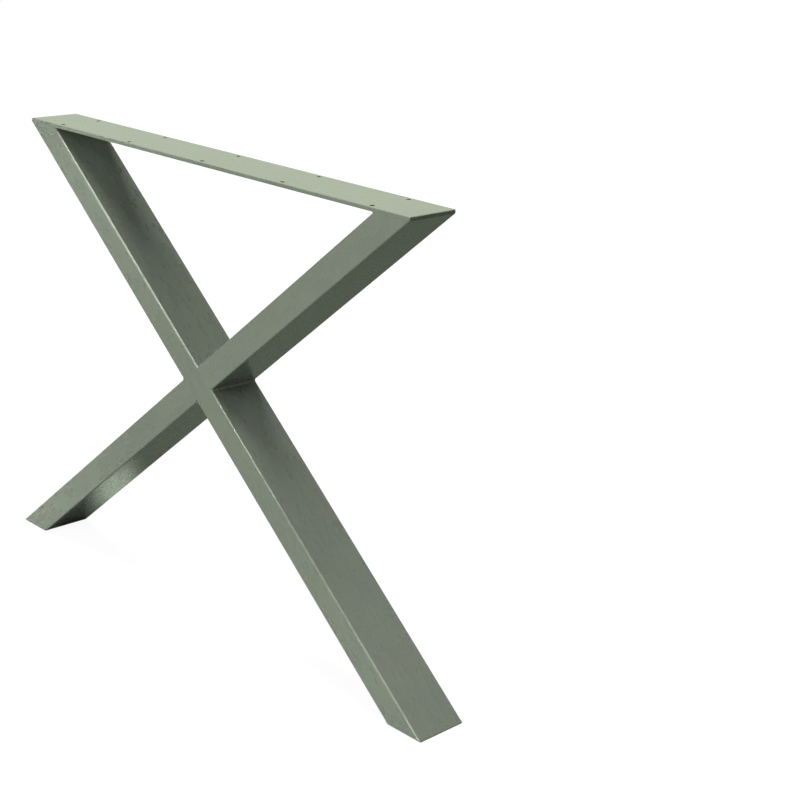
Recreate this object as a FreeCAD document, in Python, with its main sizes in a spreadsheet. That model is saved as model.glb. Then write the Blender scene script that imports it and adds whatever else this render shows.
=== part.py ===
import FreeCAD, Part
import Sketcher
import os

# X shaped table leg of welded box section tube, millimetres, +Z up.
# The origin is on the floor, midway between the feet: +X along the table's end, +Y through the depth.

doc = FreeCAD.newDocument("x_table_leg")

# Driving sizes
driving_sizes = {
    "overall_height": "680",
    "top_width": "820",
    "foot_spread": "935",
    "tube_depth": "80",
    "tube_width": "40",
    "tube_wall": "2",
    "tube_corner_radius": "2.5",
    "tube_inner_radius": "0.5",
    "plate_thickness": "5",
    "plate_corner_radius": "2.5",
    "plate_rim_radius": "1.2",
    "foot_plate_thickness": "3",
    "foot_corner_radius": "2.5",
    "foot_rim_chamfer": "0.8",
    "hole_diameter": "6.5",
    "hole_pitch": "168",
    "hole_edge_distance": "9",
    "holes_per_row": "5",
    "crossing_bead_leg": "4",
    "plate_bead_leg": "4",
    "bead_face_ratio": "1.4",
    "seam_lip_angle": "15",
}
sheet = doc.addObject("Spreadsheet::Sheet", "Sizes")
for row, (alias, value) in enumerate(driving_sizes.items(), start=1):
    sheet.set(f"A{row}", alias)
    sheet.set(f"B{row}", value)
    sheet.setAlias(f"B{row}", alias)
doc.recompute()

# Worked sizes: the tubes' slope follows from the height, the two widths and the tube
worked_sizes = {
    "plate_underside": "Sizes.overall_height - Sizes.plate_thickness",
    "foot_top": "Sizes.foot_plate_thickness",
    "rise": "Worked.plate_underside - Worked.foot_top",
    "run": "(Sizes.top_width + Sizes.foot_spread) / 2",
    "slope": "atan2(Worked.rise; Worked.run) + asin(Sizes.tube_width / hypot(Worked.rise; Worked.run))",
    "cut_length": "Sizes.tube_width / sin(Worked.slope)",
    "cut_wall": "Sizes.tube_wall / sin(Worked.slope)",
    "crossing_drop": "(Sizes.top_width - Worked.cut_length) / 2 * tan(Worked.slope)",
    "crossing_height": "Worked.plate_underside - Worked.crossing_drop",
    "crossing_half_width": "Worked.cut_length / 2",
    "crossing_half_height": "Sizes.tube_width / 2 / cos(Worked.slope)",
    "wall_share": "Sizes.tube_wall / Sizes.tube_width",
}
worked = doc.addObject("App::VarSet", "Worked")
for name, expression in worked_sizes.items():
    worked.addProperty("App::PropertyAngle" if name == "slope" else "App::PropertyFloat", name)
    worked.setExpression(name, expression)
doc.recompute()

# A reading of any expression on these sizes, where a shape or a sketch starts from plain numbers
reading = doc.addObject("App::VarSet", "Reading")
reading.addProperty("App::PropertyFloat", "number")

# How near two places are taken as one, and how well two directions agree
near = 1e-6
parallel_ratio = 0.9999


def value_of(expression):
    reading.setExpression("number", expression)
    reading.recompute()
    return reading.number


def origin_plane(body, role):
    return next(feature for feature in body.Origin.OriginFeatures if feature.Role == role)


def add_body(label):
    body = doc.addObject("PartDesign::Body", label)
    body.Label = label
    return body


def add_sketch(body, name, role, offset=None):
    sketch = body.newObject("Sketcher::SketchObject", name)
    sketch.AttachmentSupport = [(origin_plane(body, role), "")]
    sketch.MapMode = "FlatFace"
    if offset:
        sketch.setExpression("AttachmentOffset.Base.z", offset)
    return sketch


def add_limit(sketch, kind, places, expression):
    index = sketch.addConstraint(Sketcher.Constraint(kind, *places, value_of(expression)))
    sketch.setExpression(f"Constraints[{index}]", expression)


def fix_point(sketch, geometry, end, place):
    add_limit(sketch, "DistanceX", (-1, 1, geometry, end), place[0])
    add_limit(sketch, "DistanceY", (-1, 1, geometry, end), place[1])


def point_at(place):
    return FreeCAD.Vector(value_of(place[0]), value_of(place[1]), 0)


def draw_outline(sketch, corners):
    count = len(corners)
    points = [point_at(corner) for corner in corners]
    for number in range(count):
        sketch.addGeometry(Part.LineSegment(points[number], points[(number + 1) % count]))
    for number in range(count):
        sketch.addConstraint(Sketcher.Constraint("Coincident", (number - 1) % count, 2, number, 1))
        fix_point(sketch, number, 1, corners[number])


def add_pad(body, name, sketch, length, both_ways=False):
    pad = body.newObject("PartDesign::Pad", name)
    pad.Profile = sketch
    pad.SideType = "Symmetric" if both_ways else "One side"
    pad.setExpression("Length", length)
    doc.recompute()
    return pad


def dress_edges(body, name, kind, base, edges, size):
    dressing = body.newObject("PartDesign::" + kind, name)
    dressing.Base = (base, edges)
    dressing.setExpression("Radius" if kind == "Fillet" else "Size", size)
    doc.recompute()
    return dressing


def edges_where(shape, test):
    return [f"Edge{number}" for number, edge in enumerate(shape.Edges, start=1) if test(edge)]


def is_vertical(edge):
    return abs(edge.tangentAt(edge.FirstParameter).z) > parallel_ratio


def lies_at(edge, height):
    return abs(edge.BoundBox.ZMin - height) < near and abs(edge.BoundBox.ZMax - height) < near


# Box section tubes: a side outline through the depth, a bore, and rounded long corners inside and out
def long_edges(shape, side, depth):
    along = (side.EndPoint - side.StartPoint).normalize()
    direction = FreeCAD.Vector(along.x, 0, along.y)

    def test(edge):
        if abs(abs(edge.CenterOfMass.y) - depth) > near:
            return False
        return abs(edge.tangentAt(edge.FirstParameter).dot(direction)) > parallel_ratio
    return edges_where(shape, test)


def add_tube(label, outline, bore):
    body = add_body(label)
    side_sketch = add_sketch(body, label + "_side", "XZ_Plane")
    draw_outline(side_sketch, outline)
    pad = add_pad(body, label + "_blank", side_sketch, "Sizes.tube_depth", both_ways=True)
    bore_sketch = add_sketch(body, label + "_bore_side", "XZ_Plane")
    draw_outline(bore_sketch, bore)
    pocket = body.newObject("PartDesign::Pocket", label + "_bore")
    pocket.Profile = bore_sketch
    pocket.SideType = "Symmetric"
    pocket.setExpression("Length", "Sizes.tube_depth - 2 * Sizes.tube_wall")
    doc.recompute()
    if pocket.Shape.Volume > pad.Shape.Volume * (1 - near):
        raise RuntimeError(label + " was not bored")
    side = side_sketch.Geometry[1]
    inner = long_edges(pocket.Shape, side, value_of("Sizes.tube_depth / 2 - Sizes.tube_wall"))
    inside = dress_edges(body, label + "_inside", "Fillet", pocket, inner, "Sizes.tube_inner_radius")
    outer = long_edges(inside.Shape, side, value_of("Sizes.tube_depth / 2"))
    dress_edges(body, label + "_outside", "Fillet", inside, outer, "Sizes.tube_corner_radius")


half_top = "Sizes.top_width / 2"
half_foot = "Sizes.foot_spread / 2"
top_level = "Worked.plate_underside"
foot_level = "Worked.foot_top"
crossing_top = "Worked.crossing_height + Worked.crossing_half_height"
crossing_bottom = "Worked.crossing_height - Worked.crossing_half_height"
wall_to_side = "Worked.crossing_half_width * Worked.wall_share"
side_to_wall = "Worked.crossing_half_width * (1 - Worked.wall_share)"
wall_to_tip = "Worked.crossing_half_height * Worked.wall_share"
tip_to_wall = "Worked.crossing_half_height * (1 - Worked.wall_share)"

# One straight tube runs through, from the plate's left end down to the right foot
add_tube(
    "through_tube",
    [
        (f"-{half_top}", top_level),
        (f"-{half_top} + Worked.cut_length", top_level),
        (half_foot, foot_level),
        (f"{half_foot} - Worked.cut_length", foot_level),
    ],
    [
        (f"-{half_top} + Worked.cut_wall", top_level),
        (f"-{half_top} + Worked.cut_length - Worked.cut_wall", top_level),
        (f"{half_foot} - Worked.cut_wall", foot_level),
        (f"{half_foot} - Worked.cut_length + Worked.cut_wall", foot_level),
    ])

# Two shorter tubes butt on its wide faces, one above the crossing and one below
add_tube(
    "upper_half_tube",
    [
        (f"{half_top} - Worked.cut_length", top_level),
        (half_top, top_level),
        ("Worked.crossing_half_width", "Worked.crossing_height"),
        ("0", crossing_top),
    ],
    [
        (f"{half_top} - Worked.cut_length + Worked.cut_wall", top_level),
        (f"{half_top} - Worked.cut_wall", top_level),
        (side_to_wall, f"Worked.crossing_height + {wall_to_tip}"),
        (wall_to_side, f"Worked.crossing_height + {tip_to_wall}"),
    ])
add_tube(
    "lower_half_tube",
    [
        (f"-{half_foot} + Worked.cut_length", foot_level),
        (f"-{half_foot}", foot_level),
        ("-Worked.crossing_half_width", "Worked.crossing_height"),
        ("0", crossing_bottom),
    ],
    [
        (f"-{half_foot} + Worked.cut_length - Worked.cut_wall", foot_level),
        (f"-{half_foot} + Worked.cut_wall", foot_level),
        (f"-{side_to_wall}", f"Worked.crossing_height - {wall_to_tip}"),
        (f"-{wall_to_side}", f"Worked.crossing_height - {tip_to_wall}"),
    ])


# Flat plates with rounded corners and one rounded or broken rim
def add_plate(label, left, right, level, thickness, corner_radius, rim_kind, rim_size, rim_level):
    body = add_body(label)
    sketch = add_sketch(body, label + "_outline", "XY_Plane", level)
    front, rear = "-Sizes.tube_depth / 2", "Sizes.tube_depth / 2"
    draw_outline(sketch, [(left, front), (right, front), (right, rear), (left, rear)])
    pad = add_pad(body, label + "_blank", sketch, thickness)
    upright = edges_where(pad.Shape, is_vertical)
    corners = dress_edges(body, label + "_corners", "Fillet", pad, upright, corner_radius)
    rim_height = value_of(rim_level)
    rim = edges_where(corners.Shape, lambda edge: lies_at(edge, rim_height))
    return body, dress_edges(body, label + "_rim", rim_kind, corners, rim, rim_size)


# The top plate lies flush with the tubes' front, rear and outer edges and is drilled in two rows
plate, plate_rim = add_plate(
    "top_plate", f"-{half_top}", half_top, top_level, "Sizes.plate_thickness",
    "Sizes.plate_corner_radius", "Fillet", "Sizes.plate_rim_radius", "Sizes.overall_height")
hole_sketch = add_sketch(plate, "first_holes", "XY_Plane", "Sizes.overall_height")
first_hole = "-Sizes.hole_pitch * (Sizes.holes_per_row - 1) / 2"
row_offset = "Sizes.tube_depth / 2 - Sizes.hole_edge_distance"
for row in (f"-({row_offset})", row_offset):
    centre = point_at((first_hole, row))
    circle = Part.Circle(centre, FreeCAD.Vector(0, 0, 1), value_of("Sizes.hole_diameter / 2"))
    number = hole_sketch.addGeometry(circle)
    fix_point(hole_sketch, number, 3, (first_hole, row))
    add_limit(hole_sketch, "Diameter", (number,), "Sizes.hole_diameter")
doc.recompute()
hole = plate.newObject("PartDesign::Hole", "screw_hole")
hole.Profile = hole_sketch
doc.recompute()
hole.DepthType = "ThroughAll"
hole.setExpression("Diameter", "Sizes.hole_diameter")
doc.recompute()
pattern = plate.newObject("PartDesign::LinearPattern", "hole_rows")
pattern.Originals = [hole]
pattern.Direction = (origin_plane(plate, "X_Axis"), [""])
pattern.setExpression("Occurrences", "Sizes.holes_per_row")
pattern.setExpression("Length", "Sizes.hole_pitch * (Sizes.holes_per_row - 1)")
plate.Tip = pattern
doc.recompute()
if plate.Shape.Volume >= plate_rim.Shape.Volume:
    raise RuntimeError("top_plate was not drilled")

# Thin plates close the slanted feet
for label, left, right in (
        ("left_foot_plate", f"-{half_foot}", f"-{half_foot} + Worked.cut_length"),
        ("right_foot_plate", f"{half_foot} - Worked.cut_length", half_foot)):
    add_plate(
        label, left, right, "0", "Sizes.foot_plate_thickness",
        "Sizes.foot_corner_radius", "Chamfer", "Sizes.foot_rim_chamfer", "0")


# Fillet welds: a bead with two legs on the faces that it joins and a crowned face between them
def add_bead(label, corner, first_angle, second_angle, leg):
    body = add_body(label)
    sketch = add_sketch(body, label + "_section", "XZ_Plane")
    ends = [(f"{corner[0]} + {leg} * cos({angle})", f"{corner[1]} + {leg} * sin({angle})")
            for angle in (first_angle, second_angle)]
    corner_point, first_point, second_point = (point_at(place) for place in (corner, *ends))
    chord = second_point - first_point
    outward = (first_point + second_point) / 2 - corner_point
    radius = value_of(f"{leg} * Sizes.bead_face_ratio")
    sag = radius - (radius ** 2 - (chord.Length / 2) ** 2) ** 0.5
    crown = (first_point + second_point) / 2 + outward.normalize() * sag
    sketch.addGeometry(Part.LineSegment(corner_point, first_point))
    sketch.addGeometry(Part.LineSegment(second_point, corner_point))
    face = sketch.addGeometry(Part.Arc(first_point, crown, second_point))
    turns_left = (first_point - corner_point).cross(second_point - corner_point).z > 0
    face_start, face_end = (1, 2) if turns_left else (2, 1)
    sketch.addConstraint(Sketcher.Constraint("Coincident", 1, 2, 0, 1))
    sketch.addConstraint(Sketcher.Constraint("Coincident", 0, 2, face, face_start))
    sketch.addConstraint(Sketcher.Constraint("Coincident", 1, 1, face, face_end))
    fix_point(sketch, 0, 1, corner)
    fix_point(sketch, 0, 2, ends[0])
    fix_point(sketch, 1, 1, ends[1])
    add_limit(sketch, "Radius", (face,), f"{leg} * Sizes.bead_face_ratio")
    add_pad(body, label + "_run", sketch, "Sizes.tube_depth - 2 * Sizes.tube_corner_radius", both_ways=True)


up_right = "Worked.slope"
up_left = "180 deg - Worked.slope"
down_left = "180 deg + Worked.slope"
down_right = "-Worked.slope"
crossing_left = ("-Worked.crossing_half_width", "Worked.crossing_height")
crossing_right = ("Worked.crossing_half_width", "Worked.crossing_height")
for label, corner, first_angle, second_angle in (
        ("upper_crossing_weld", ("0", crossing_top), up_right, up_left),
        ("lower_crossing_weld", ("0", crossing_bottom), down_left, down_right),
        ("left_crossing_weld", crossing_left, up_left, down_left),
        ("right_crossing_weld", crossing_right, down_right, up_right)):
    add_bead(label, corner, first_angle, second_angle, "Sizes.crossing_bead_leg")
add_bead("left_plate_weld", (f"-{half_top} + Worked.cut_length", top_level), down_right, "0 deg",
         "Sizes.plate_bead_leg")
add_bead("right_plate_weld", (f"{half_top} - Worked.cut_length", top_level), "180 deg", down_left,
         "Sizes.plate_bead_leg")


# Seam welds fill the groove over the through tube's rounded corners, ground flush with the faces
def add_seam(label, middle, turn, side):
    body = add_body(label)
    body.Placement = FreeCAD.Placement(
        FreeCAD.Vector(), FreeCAD.Rotation(FreeCAD.Vector(0, 1, 0), value_of(turn)))
    body.setExpression("Placement.Base.x", middle[0])
    body.setExpression("Placement.Base.z", middle[1])
    body.setExpression("Placement.Rotation.Angle", turn)
    radius = "Sizes.tube_corner_radius"
    face = f"{side} * Sizes.tube_depth / 2"
    lip = "Sizes.seam_lip_angle * 1 deg"
    long_leg, short_leg = f"{radius} * (1 - sin({lip}))", f"{radius} * (1 - cos({lip}))"
    corners = [
        (face, f"-({long_leg})"),
        (face, "0"),
        (f"{face} - {side} * ({long_leg})", "0"),
        (f"{face} - {side} * ({long_leg})", f"-({short_leg})"),
        (f"{face} - {side} * ({short_leg})", f"-({long_leg})"),
    ]
    middle_sine = "sin(45 deg)"
    hollow = (f"{face} - {side} * {radius} * (1 - {middle_sine})", f"-{radius} * (1 - {middle_sine})")
    sketch = add_sketch(body, label + "_section", "YZ_Plane")
    points = [point_at(place) for place in corners]
    for start, end in ((4, 0), (0, 1), (1, 2), (2, 3)):
        sketch.addGeometry(Part.LineSegment(points[start], points[end]))
    arc = sketch.addGeometry(Part.Arc(points[3], point_at(hollow), points[4]))
    for number in range(3):
        sketch.addConstraint(Sketcher.Constraint("Coincident", number, 2, number + 1, 1))
    arc_points = [sketch.getPoint(arc, 1), sketch.getPoint(arc, 2)]
    arc_start, arc_end = (1, 2) if arc_points[0].isEqual(points[3], near) else (2, 1)
    sketch.addConstraint(Sketcher.Constraint("Coincident", 3, 2, arc, arc_start))
    sketch.addConstraint(Sketcher.Constraint("Coincident", 0, 1, arc, arc_end))
    for number, place in enumerate(corners[:4]):
        fix_point(sketch, number, 2, place)
    fix_point(sketch, 0, 1, corners[4])
    add_limit(sketch, "Radius", (arc,), radius)
    length = f"(Sizes.tube_width - 2 * {radius}) / sin(2 * Worked.slope)"
    add_pad(body, label + "_run", sketch, length, both_ways=True)


seam_across = "Worked.crossing_half_width / 2"
seam_up = "Worked.crossing_half_height / 2"
for where, middle, turn in (
        ("upper", (seam_across, f"Worked.crossing_height + {seam_up}"), "Worked.slope"),
        ("lower", (f"-{seam_across}", f"Worked.crossing_height - {seam_up}"), "Worked.slope + 180 deg")):
    add_seam(f"{where}_front_seam_weld", middle, turn, "-1")
    add_seam(f"{where}_rear_seam_weld", middle, turn, "1")
doc.recompute()

# Every object has to be sound before anything is written
for thing in doc.Objects:
    if "Invalid" in thing.State or "Error" in thing.State:
        raise RuntimeError(f"{thing.Label} failed: {thing.State}")
bodies = [thing for thing in doc.Objects if thing.TypeId == "PartDesign::Body"]
for body in bodies:
    if body.Shape.isNull() or not body.Shape.isValid() or len(body.Shape.Solids) != 1:
        raise RuntimeError(f"{body.Label} is not one sound solid")

os.makedirs("parts", exist_ok=True)
for body in bodies:
    body.Shape.exportStep(f"parts/{body.Label}.step")
    print(f"{body.Label}: {body.Shape.Volume:.1f} mm3")
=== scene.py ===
import math

import bmesh
import bpy
from mathutils import Matrix, Vector


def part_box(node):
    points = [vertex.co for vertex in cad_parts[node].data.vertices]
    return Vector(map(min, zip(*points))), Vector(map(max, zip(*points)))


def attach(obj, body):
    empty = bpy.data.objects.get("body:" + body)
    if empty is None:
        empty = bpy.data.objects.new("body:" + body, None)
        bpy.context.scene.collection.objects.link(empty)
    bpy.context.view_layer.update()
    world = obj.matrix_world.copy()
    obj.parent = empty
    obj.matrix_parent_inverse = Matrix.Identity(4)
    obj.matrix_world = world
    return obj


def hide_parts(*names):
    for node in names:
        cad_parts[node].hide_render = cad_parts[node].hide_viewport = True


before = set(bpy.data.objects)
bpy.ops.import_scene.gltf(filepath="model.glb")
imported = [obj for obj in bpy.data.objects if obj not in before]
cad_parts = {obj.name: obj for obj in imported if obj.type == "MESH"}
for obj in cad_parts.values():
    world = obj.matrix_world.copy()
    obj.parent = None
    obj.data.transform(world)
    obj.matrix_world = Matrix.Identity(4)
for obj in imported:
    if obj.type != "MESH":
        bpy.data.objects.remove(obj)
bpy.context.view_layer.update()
print("frame:", len(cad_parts), "nodes loaded")


class Wire:
    # a shader socket that can be used in sums
    def __init__(self, paint, socket):
        self.paint = paint
        self.socket = socket

    def math(self, operation, first, second):
        return self.paint.add("ShaderNodeMath", {"operation": operation}, {0: first, 1: second})

    def __add__(self, other):
        return self.math("ADD", self, other)

    def __sub__(self, other):
        return self.math("SUBTRACT", self, other)

    def __rsub__(self, other):
        return self.math("SUBTRACT", other, self)

    def __mul__(self, other):
        return self.math("MULTIPLY", self, other)

    def above(self, level):
        return self.math("GREATER_THAN", self, level)

    def below(self, level):
        return self.math("LESS_THAN", self, level)

    __radd__ = __add__
    __rmul__ = __mul__


class Paint:
    # one node tree, of a material or of the world
    def __init__(self, owner):
        owner.use_nodes = True
        self.tree = owner.node_tree
        self.tree.nodes.clear()

    def add(self, kind, settings, sockets, out=0):
        node = self.tree.nodes.new(kind)
        for key, value in settings.items():
            setattr(node, key, value)
        for key, value in sockets.items():
            if isinstance(value, Wire):
                self.tree.links.new(value.socket, node.inputs[key])
            else:
                node.inputs[key].default_value = value
        return Wire(self, node.outputs[out]) if node.outputs else None

    def mix(self, factor, first, second, blend="MIX"):
        # on a Mix node the two colours are inputs 6 and 7, and the mixed one is output 2
        settings = {"data_type": "RGBA", "blend_type": blend}
        return self.add("ShaderNodeMix", settings, {0: factor, 6: first, 7: second}, 2)


# the leg's own sizes, read from the frame
plateLow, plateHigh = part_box("top_plate")
footLow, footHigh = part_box("right_foot_plate")
cutLength = footHigh.x - footLow.x
tubeDepth = plateHigh.y - plateLow.y
topCentre = Vector((plateLow.x + cutLength / 2, 0, plateLow.z))
footCentre = Vector((footHigh.x - cutLength / 2, 0, footHigh.z))
throughAxis = (footCentre - topCentre).normalized()
slope = math.atan2(-throughAxis.z, throughAxis.x)
tubeWidth = cutLength * math.sin(slope)
crossing = topCentre - throughAxis * (topCentre.x / throughAxis.x)
throughSide = Vector((math.sin(slope), 0, math.cos(slope)))
print("sizes: slope", round(math.degrees(slope), 2), "tube", round(tubeWidth, 4), "by", round(tubeDepth, 4))


# satin sage coating: shade is how far a pattern sways the colour, height is its relief in metres,
# and a stretch under 1 draws the pattern out along the metal
coating = {
    "warmSage": (0.236, 0.252, 0.186, 1), "coolSage": (0.200, 0.248, 0.206, 1),
    "metallic": 0.4, "sheenTint": (0.87, 1.0, 0.80, 1), "specular": 0.25, "ior": 1.5,
    "coat": 0.8, "coatRoughness": 0.11, "roughness": 0.28, "roughSwing": 0.12,
    "bumpStrength": 0.3, "noiseRoughness": 0.55,
    "patterns": {
        "tint": {"scale": 17, "detail": 4},
        "cloud": {"scale": 11, "detail": 3, "shade": 0.09},
        "smudge": {"scale": 60, "detail": 3, "shade": 0.07, "stretch": 0.4},
        "streak": {"scale": 220, "detail": 2, "shade": 0.025, "stretch": 0.02},
        "mark": {"scale": 90, "detail": 2, "shade": 0.03, "stretch": 0.6, "from": 0.40, "to": 0.80},
        "speck": {"scale": 1500, "detail": 1, "shade": 0.02},
        "peel": {"scale": 330, "detail": 2, "height": 0.000014},
        "grain": {"scale": 1400, "detail": 1, "height": 0.000005},
    },
}
holePaintedShade = {"dark": 0.85, "skin": 0.0003, "rim": 0.0035}   # painted shade inside the holes: the drilled walls are darkened


def makeCoating(name, turn, shift, drilled=False):
    material = bpy.data.materials.new(name)
    paint = Paint(material)
    place = paint.add("ShaderNodeTexCoord", {}, {}, "Object")
    along = paint.add("ShaderNodeMapping", {}, {"Vector": place, "Rotation": (0, turn, 0), "Location": shift})

    def noise(pattern):
        stretch = (pattern.get("stretch", 1), 1, 1)
        drawnOut = paint.add("ShaderNodeMapping", {}, {"Vector": along, "Scale": stretch})
        return paint.add("ShaderNodeTexNoise", {},
                         {"Vector": drawnOut, "Scale": pattern["scale"], "Detail": pattern["detail"],
                          "Roughness": coating["noiseRoughness"]})

    patterns = coating["patterns"]
    noises = {kind: noise(pattern) for kind, pattern in patterns.items()}
    shade = 1
    for kind in ("cloud", "smudge", "streak", "speck"):
        shade = shade + (noises[kind] - 0.5) * (2 * patterns[kind]["shade"])
    mark = patterns["mark"]
    marked = paint.add("ShaderNodeMapRange", {}, {0: noises["mark"], 1: mark["from"], 2: mark["to"]})
    shade = shade - marked * mark["shade"]
    # painted shade inside the holes: the drilled walls are darkened
    if drilled:
        x, y, z = (paint.add("ShaderNodeSeparateXYZ", {}, {0: place}, axis) for axis in "XYZ")
        wall = z.above(plateLow.z + holePaintedShade["skin"]) * z.below(plateHigh.z - holePaintedShade["skin"])
        for across, reach in ((x, plateHigh.x), (y, plateHigh.y)):
            wall = wall * across.below(reach - holePaintedShade["rim"]) * across.above(holePaintedShade["rim"] - reach)
        shade = shade * (1 - wall * holePaintedShade["dark"])
    tint = paint.mix(noises["tint"], coating["warmSage"], coating["coolSage"])
    grey = paint.add("ShaderNodeCombineColor", {}, {0: shade, 1: shade, 2: shade})
    colour = paint.mix(1.0, tint, grey, "MULTIPLY")
    rough = coating["roughness"] + (noises["smudge"] - 0.5) * coating["roughSwing"]
    height = noises["peel"] * patterns["peel"]["height"] + noises["grain"] * patterns["grain"]["height"]
    bump = paint.add("ShaderNodeBump", {},
                     {"Height": height, "Distance": 1.0, "Strength": coating["bumpStrength"]})
    shader = paint.add("ShaderNodeBsdfPrincipled", {},
                       {"Base Color": colour, "Roughness": rough, "Normal": bump, "IOR": coating["ior"],
                        "Metallic": coating["metallic"], "Specular Tint": coating["sheenTint"],
                        "Specular IOR Level": coating["specular"],
                        "Coat Weight": coating["coat"], "Coat Roughness": coating["coatRoughness"]})
    paint.add("ShaderNodeOutputMaterial", {}, {"Surface": shader})
    return material


throughCoating = makeCoating("sage_coating_through", -slope, (0.3, 0.7, 0.1))
halfCoating = makeCoating("sage_coating_half", slope, (0.9, 0.2, 0.5))
plateCoating = makeCoating("sage_coating_plate", 0, (0.1, 0.4, 0.8), drilled=True)
print("materials: sage coating made for each lie of the metal")


# how every mesh is cut, rounded and closed up
meshing = {
    "mergeDistance": 1e-6, "sawSlack": 1e-7, "nearly": 1e-5, "sharpAngle": 35,
    "roundProfile": 0.5, "neighbourMaterial": -1,
}


def finishPiece(bm, name, node, material):
    bmesh.ops.remove_doubles(bm, verts=bm.verts, dist=meshing["mergeDistance"])
    bmesh.ops.recalc_face_normals(bm, faces=bm.faces)
    mesh = bpy.data.meshes.new(name)
    bm.to_mesh(mesh)
    bm.free()
    mesh.materials.append(material)
    mesh.polygons.foreach_set("use_smooth", [True] * len(mesh.polygons))
    mesh.set_sharp_from_angle(angle=math.radians(meshing["sharpAngle"]))
    piece = bpy.data.objects.new(name, mesh)
    bpy.context.scene.collection.objects.link(piece)
    evenNormals = piece.modifiers.new("even normals", "WEIGHTED_NORMAL")
    evenNormals.keep_sharp = True
    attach(piece, "root")
    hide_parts(node)


def roundOff(bm, edges, radius, segments):
    bmesh.ops.bevel(bm, geom=edges, offset=radius, offset_type="OFFSET", segments=segments, affect="EDGES",
                    profile=meshing["roundProfile"], material=meshing["neighbourMaterial"])


def cutAcross(bm, point, normal, clear):
    geom = bm.verts[:] + bm.edges[:] + bm.faces[:]
    bmesh.ops.bisect_plane(bm, geom=geom, dist=meshing["sawSlack"], plane_co=point, plane_no=normal,
                           clear_outer=clear)


def sawOff(bm, point, normal):
    cutAcross(bm, point, normal, clear=True)
    bmesh.ops.holes_fill(bm, edges=[edge for edge in bm.edges if edge.is_boundary], sides=0)


# box-section tubes, sawn flat under the plate, at the foot and at the crossing
tubeShape = {"cornerRadius": 0.0025, "cornerSegments": 6, "spareLength": 0.2}


def makeTube(name, node, lean, saws, material):
    bm = bmesh.new()
    length = (topCentre - footCentre).length + tubeShape["spareLength"]
    bmesh.ops.create_cube(bm, size=1)
    bmesh.ops.scale(bm, vec=(length, tubeDepth, tubeWidth), verts=bm.verts)
    longEdges = [edge for edge in bm.edges if edge.calc_length() > length / 2]
    roundOff(bm, longEdges, tubeShape["cornerRadius"], tubeShape["cornerSegments"])
    bmesh.ops.rotate(bm, cent=(0, 0, 0), matrix=Matrix.Rotation(lean * slope, 3, "Y"), verts=bm.verts)
    bmesh.ops.translate(bm, vec=crossing, verts=bm.verts)
    for point, normal in saws:
        sawOff(bm, point, normal)
    finishPiece(bm, name, node, material)


underPlate = (Vector((0, 0, plateLow.z)), Vector((0, 0, 1)))
overFoot = (Vector((0, 0, footHigh.z)), Vector((0, 0, -1)))
upperButt = (crossing + throughSide * tubeWidth / 2, -throughSide)
lowerButt = (crossing - throughSide * tubeWidth / 2, throughSide)
makeTube("throughTube", "through_tube", 1, (underPlate, overFoot), throughCoating)
makeTube("upperHalfTube", "upper_half_tube", -1, (underPlate, upperButt), halfCoating)
makeTube("lowerHalfTube", "lower_half_tube", -1, (overFoot, lowerButt), halfCoating)
print("tubes: three lengths sawn")


# flat plates with soft rims, the top one drilled
plateShape = {
    "cornerRadius": 0.0025, "cornerSegments": 5, "topRim": 0.0012, "bottomRim": 0.0002, "rimSegments": 4,
    "holeDiameter": 0.0065, "holePitch": 0.168, "holesPerRow": 5, "holeEdge": 0.009,
    "holeCell": 0.012, "holeSegments": 24, "holeRim": 0.0004, "holeRimSegments": 2,
}
footShape = {
    "cornerRadius": 0.0025, "cornerSegments": 5, "topRim": 0.0001, "bottomRim": 0.002, "rimSegments": 4,
}


def plateBlank(low, high, shape):
    nearly = meshing["nearly"]
    bm = bmesh.new()
    bmesh.ops.create_cube(bm, size=1)
    bmesh.ops.scale(bm, vec=high - low, verts=bm.verts)
    bmesh.ops.translate(bm, vec=(low + high) / 2, verts=bm.verts)
    upright = [edge for edge in bm.edges if abs(edge.verts[0].co.z - edge.verts[1].co.z) > nearly]
    roundOff(bm, upright, shape["cornerRadius"], shape["cornerSegments"])
    for level, radius in ((high.z, shape["topRim"]), (low.z, shape["bottomRim"])):
        rim = [edge for edge in bm.edges if all(abs(v.co.z - level) < nearly for v in edge.verts)]
        roundOff(bm, rim, radius, shape["rimSegments"])
    return bm


def holePlaces():
    half = (plateShape["holesPerRow"] - 1) / 2
    for row in (plateLow.y + plateShape["holeEdge"], plateHigh.y - plateShape["holeEdge"]):
        for number in range(plateShape["holesPerRow"]):
            yield (number - half) * plateShape["holePitch"], row


def drill(bm, x, y):
    rings = []
    for level in (plateHigh.z, plateLow.z):
        centre = Vector((x, y, level))
        cell = min(bm.faces, key=lambda face: (face.calc_center_median() - centre).length)
        around = cell.edges[:]
        bmesh.ops.delete(bm, geom=[cell], context="FACES_ONLY")
        ring = bmesh.ops.create_circle(bm, segments=plateShape["holeSegments"],
                                       radius=plateShape["holeDiameter"] / 2,
                                       matrix=Matrix.Translation(centre))["verts"]
        ringEdges = list({edge for v in ring for edge in v.link_edges})
        bmesh.ops.bridge_loops(bm, edges=around + ringEdges)
        rings.append(ringEdges)
    bmesh.ops.bridge_loops(bm, edges=rings[0] + rings[1])
    return rings[0]


def makeTopPlate():
    bm = plateBlank(plateLow, plateHigh, plateShape)
    halfCell = plateShape["holeCell"] / 2
    for axis in (0, 1):   # cuts both ways leave a small cell around each hole
        normal = Vector((1 - axis, axis, 0))
        for line in sorted({place[axis] for place in holePlaces()}):
            for edgeOfCell in (line - halfCell, line + halfCell):
                cutAcross(bm, normal * edgeOfCell, normal, clear=False)
    rims = [edge for x, y in holePlaces() for edge in drill(bm, x, y)]
    bmesh.ops.recalc_face_normals(bm, faces=bm.faces)
    roundOff(bm, rims, plateShape["holeRim"], plateShape["holeRimSegments"])
    finishPiece(bm, "topPlate", "top_plate", plateCoating)


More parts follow.
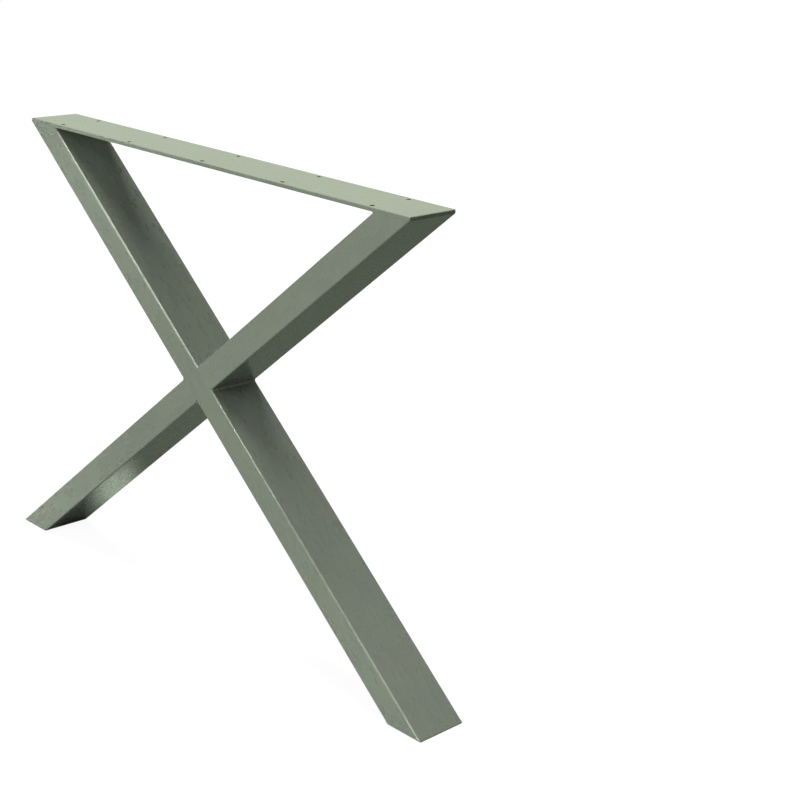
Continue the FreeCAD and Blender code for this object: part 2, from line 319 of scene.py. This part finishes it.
makeTopPlate()
for side, lean in (("left", 1), ("right", -1)):
    low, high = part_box(side + "_foot_plate")
    blank = plateBlank(low, high, footShape)
    # the ends are ground to the tube's slope
    slant = Matrix(((1, 0, lean / math.tan(slope), 0), (0, 1, 0, 0), (0, 0, 1, 0), (0, 0, 0, 1)))
    bmesh.ops.transform(blank, matrix=slant, space=Matrix.Translation(-high), verts=blank.verts)
    finishPiece(blank, side + "FootPlate", side + "_foot_plate", plateCoating)
print("plates: top plate drilled, feet rounded")


# weld beads: a filled corner with soft ripples under the paint
beadShape = {
    "leg": 0.004, "bulge": 0.0001, "across": 8, "step": 0.0006, "reach": 0.0006,
    "endRound": 0.0005, "endDrop": 0.04,
    "ripplePitch": 0.0028, "rippleDepth": 0.07, "rippleBow": 0.5,
    "wanderPitch": 0.013, "wanderDepth": 0.16, "lumpPitch": 0.0071, "lumpDepth": 0.09,
}


def wave(turns):
    return 0.5 + 0.5 * math.cos(2 * math.pi * turns)


def beadSize(y, low, high, share, start):
    # ripples, slow wander, lumps and rounded ends, as a pull towards the corner line
    bow = beadShape["rippleBow"] * (2 * share - 1) ** 2
    size = 1 - beadShape["rippleDepth"] * wave(y / beadShape["ripplePitch"] + bow)
    size -= beadShape["wanderDepth"] * wave(y / beadShape["wanderPitch"] + start)
    size -= beadShape["lumpDepth"] * wave(y / beadShape["lumpPitch"] + 2 * start)
    gone = min(1, max(0, 1 - min(y - low, high - y) / beadShape["endRound"]))
    return size * (1 - beadShape["endDrop"] * (1 - math.sqrt(1 - gone ** 2)))


def makeBead(name, node, corner, legA, legB, start, material):
    low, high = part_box(node)
    low.y -= beadShape["reach"]
    high.y += beadShape["reach"]
    outward = (legA + legB).normalized()
    bm = bmesh.new()
    section = [bm.verts.new((corner.x, low.y, corner.z))]
    for number in range(beadShape["across"] + 1):
        share = number / beadShape["across"]
        point = corner + beadShape["leg"] * (legA * (1 - share) + legB * share)
        point += outward * beadShape["bulge"] * 4 * share * (1 - share)   # highest in the middle
        section.append(bm.verts.new((point.x, low.y, point.z)))
    end = bm.faces.new(section)
    steps = round((high.y - low.y) / beadShape["step"])
    for number in range(steps):
        grown = bmesh.ops.extrude_face_region(bm, geom=[end])["geom"]
        bmesh.ops.translate(bm, vec=(0, (high.y - low.y) / steps, 0),
                            verts=[item for item in grown if isinstance(item, bmesh.types.BMVert)])
        end = [item for item in grown if isinstance(item, bmesh.types.BMFace)][0]
    spread = legA.cross(legB).y
    for v in bm.verts:
        arm = Vector((v.co.x - corner.x, 0, v.co.z - corner.z))
        alongA = arm.cross(legB).y / spread
        alongB = legA.cross(arm).y / spread
        share = alongB / max(alongA + alongB, meshing["nearly"])
        size = beadSize(v.co.y, low.y, high.y, share, start)
        v.co.x = corner.x + arm.x * size
        v.co.z = corner.z + arm.z * size
    finishPiece(bm, name, node, material)


downRight = throughAxis
upLeft = -throughAxis
downLeft = Vector((-throughAxis.x, 0, throughAxis.z))
upRight = -downLeft
crossWide = Vector((tubeWidth / 2 / math.sin(slope), 0, 0))
crossHigh = Vector((0, 0, tubeWidth / 2 / math.cos(slope)))
crossingCorners = {   # corner, the two legs, and where the bead's waves start
    "upper": (crossing + crossHigh, upLeft, upRight, 0.0),
    "lower": (crossing - crossHigh, downRight, downLeft, 0.3),
    "left": (crossing - crossWide, downLeft, upLeft, 0.55),
    "right": (crossing + crossWide, upRight, downRight, 0.8),
}
for side, (corner, legA, legB, start) in crossingCorners.items():
    makeBead(side + "CrossingBead", side + "_crossing_weld", corner, legA, legB, start, halfCoating)
underCorner = Vector((topCentre.x + cutLength / 2, 0, plateLow.z))
mirrored = Vector((-underCorner.x, 0, underCorner.z))
towardsMiddle = Vector((1, 0, 0))
makeBead("leftPlateBead", "left_plate_weld", underCorner, towardsMiddle, downRight, 0.15, throughCoating)
makeBead("rightPlateBead", "right_plate_weld", mirrored, downLeft, -towardsMiddle, 0.65, halfCoating)
print("welds: six beads laid")

# the seams across the tubes' faces are ground flush and keep their own shape
for place in ("upper_front", "upper_rear", "lower_front", "lower_rear"):
    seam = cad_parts[place + "_seam_weld"]
    seam.data.materials.clear()
    seam.data.materials.append(halfCoating)
print("seams: coated")


# camera, floor and studio light
cameraView = {
    "eye": Vector((1.7657, -1.3913, 1.1047)), "aim": Vector((0.3668, 0, 0.4318)),
    "roll": math.radians(2.411), "lens": 74.23, "sensor": 36,
}
studio = {
    "floorRadius": 40, "floorSegments": 96, "domeSegments": 48, "domeRings": 24, "stageRoughness": 0.9,
    "floorWhite": 0.08, "floorGlow": 1.0, "nearShade": 0.93,
    "floorFade": {"centre": (0, 0, 0), "near": 0.6, "far": 1.8},
    # the hidden floor is tinted green so its bounce and its reflections in the leg come out green: a painted
    # reflection tint
    "paintedReflectionTint": (0.885, 1.0, 0.83), "bounceShade": 0.10, "bounceGlow": 0.042, "bounceDrop": 0.0005,
    "paintedFootShadow": {"centre": (-0.44, 0.02, 0), "near": 0.04, "far": 0.09},   # painted shadow: dark under the left foot
}
plainBox = {"aim": (0, 0, 0.35), "size": 2.6, "spread": 180, "colour": (1, 1, 1), "shiny": True}
softboxes = {   # what a box leaves out is as in plainBox
    "overhead": {"eye": (0, 0, 4.35), "power": 212},
    "highFrontRight": {"eye": (2, -2, 3.18), "power": 31, "size": 4},
    "highBackRight": {"eye": (2, 2, 3.18), "power": 5.9},
    "highBackLeft": {"eye": (-2, 2, 3.18), "power": 4.2},
    "lowBackLeft": {"eye": (-2.91, 2.62, 1.18), "power": 13, "size": 2.8, "colour": (0.92, 1.0, 0.83)},
    "lowFront": {"eye": (0, -3.91, 1.18), "power": 200, "colour": (0.98, 0.98, 1.0), "shiny": False},
    "lowBack": {"eye": (0, 3.91, 1.18), "power": 60, "shiny": False},
    "plateEnd": {"eye": (-0.62, -1, 0.75), "power": 0.55, "aim": (-0.41, 0, 0.66), "size": 0.5, "spread": 45},
    "edgeLight": {"eye": (0.585, -2.04, 2.47), "power": 8, "size": 0.3},
    "rightFoot": {"eye": (0.55, -1, 0.15), "power": 0.2, "aim": (0.43, 0, 0.06), "size": 0.3, "spread": 45},
    "leftFoot": {"eye": (-0.65, -1, 0.15), "power": 0.45, "aim": (-0.475, 0, 0.03), "size": 0.3,
                 "spread": 45},
}
floorKick = {   # a pool of light on the floor behind the left foot
    "eye": (-0.40, 0.38, 1.1), "power": 300, "aim": (-0.354, 0.094, 0),
    "cone": 5.3, "blend": 0.9, "size": 0.02,
}


def hangLamp(name, kind, eye, aim, power, shiny=True):
    lamp = bpy.data.lights.new(name, kind)
    lamp.energy = power
    holder = bpy.data.objects.new(name, lamp)
    bpy.context.scene.collection.objects.link(holder)
    holder.location = eye
    holder.rotation_euler = (Vector(aim) - Vector(eye)).to_track_quat("-Z", "Y").to_euler()
    holder.visible_camera = False
    holder.visible_glossy = shiny
    return lamp


def makeCamera():
    data = bpy.data.cameras.new("photoCamera")
    data.lens = cameraView["lens"]
    data.sensor_width = cameraView["sensor"]
    camera = bpy.data.objects.new("photoCamera", data)
    bpy.context.scene.collection.objects.link(camera)
    look = (cameraView["aim"] - cameraView["eye"]).to_track_quat("-Z", "Y").to_matrix()
    camera.matrix_world = (Matrix.Translation(cameraView["eye"])
                           @ (look @ Matrix.Rotation(cameraView["roll"], 3, "Z")).to_4x4())
    bpy.context.scene.camera = camera


def makeStage(bm, name, colour, glow, fade, nearShade, farShade):
    mesh = bpy.data.meshes.new(name)
    bm.to_mesh(mesh)
    bm.free()
    material = bpy.data.materials.new(name)
    paint = Paint(material)
    place = paint.add("ShaderNodeTexCoord", {}, {}, "Object")
    reach = paint.add("ShaderNodeVectorMath", {"operation": "DISTANCE"},
                      {0: place, 1: fade["centre"]}, "Value")
    away = paint.add("ShaderNodeMapRange", {"interpolation_type": "SMOOTHSTEP"},
                     {0: reach, 1: fade["near"], 2: fade["far"]})
    shade = paint.mix(away, (*nearShade, 1), (*farShade, 1))
    shader = paint.add("ShaderNodeBsdfPrincipled", {}, {
        "Base Color": (*colour, 1), "Roughness": studio["stageRoughness"], "Specular IOR Level": 0.0,
        "Emission Color": shade, "Emission Strength": glow})
    paint.add("ShaderNodeOutputMaterial", {}, {"Surface": shader})
    mesh.materials.append(material)
    thing = bpy.data.objects.new(name, mesh)
    bpy.context.scene.collection.objects.link(thing)
    return thing


def floorDisc(level):
    bm = bmesh.new()
    bmesh.ops.create_circle(bm, cap_ends=True, segments=studio["floorSegments"], radius=studio["floorRadius"],
                            matrix=Matrix.Translation((0, 0, level)))
    return bm


def backdropDome():
    bm = bmesh.new()
    bmesh.ops.create_uvsphere(bm, u_segments=studio["domeSegments"], v_segments=studio["domeRings"],
                              radius=studio["floorRadius"])
    return bm


makeCamera()
white = Vector((1, 1, 1))
black = Vector((0, 0, 0))
# painted reflection tint of the hidden floor
tinted = Vector(studio["paintedReflectionTint"])
seenFloor = makeStage(floorDisc(0), "paleFloor", white * studio["floorWhite"], studio["floorGlow"],
                      studio["floorFade"], white * studio["nearShade"], white)
backdrop = makeStage(backdropDome(), "paleBackdrop", black, studio["floorGlow"],
                     studio["floorFade"], white, white)
for thing in (seenFloor, backdrop):   # seen by the camera alone
    thing.visible_diffuse = False
    thing.visible_glossy = False
    thing.visible_shadow = False
# the hidden floor's glow is painted out under the left foot: a painted shadow, seen in the leg's reflections
bounceFloor = makeStage(floorDisc(-studio["bounceDrop"]), "bounceFloor", tinted * studio["bounceShade"],
                        studio["bounceGlow"], studio["paintedFootShadow"], black, tinted)
bounceFloor.visible_camera = False

world = bpy.data.worlds.new("studio")
bpy.context.scene.world = world
air = Paint(world)
dark = air.add("ShaderNodeBackground", {}, {"Strength": 0.0})
air.add("ShaderNodeOutputWorld", {}, {"Surface": dark})
for name, own in softboxes.items():
    box = {**plainBox, **own}
    lamp = hangLamp(name, "AREA", box["eye"], box["aim"], box["power"], box["shiny"])
    lamp.shape = "DISK"
    lamp.size = box["size"]
    lamp.color = box["colour"]
    lamp.spread = math.radians(box["spread"])
spot = hangLamp("floorKick", "SPOT", floorKick["eye"], floorKick["aim"], floorKick["power"])
spot.spot_size = math.radians(floorKick["cone"])
spot.spot_blend = floorKick["blend"]
spot.shadow_soft_size = floorKick["size"]
bpy.context.scene.view_settings.view_transform = "Standard"
print("studio: camera, floor and", len(softboxes), "softboxes")
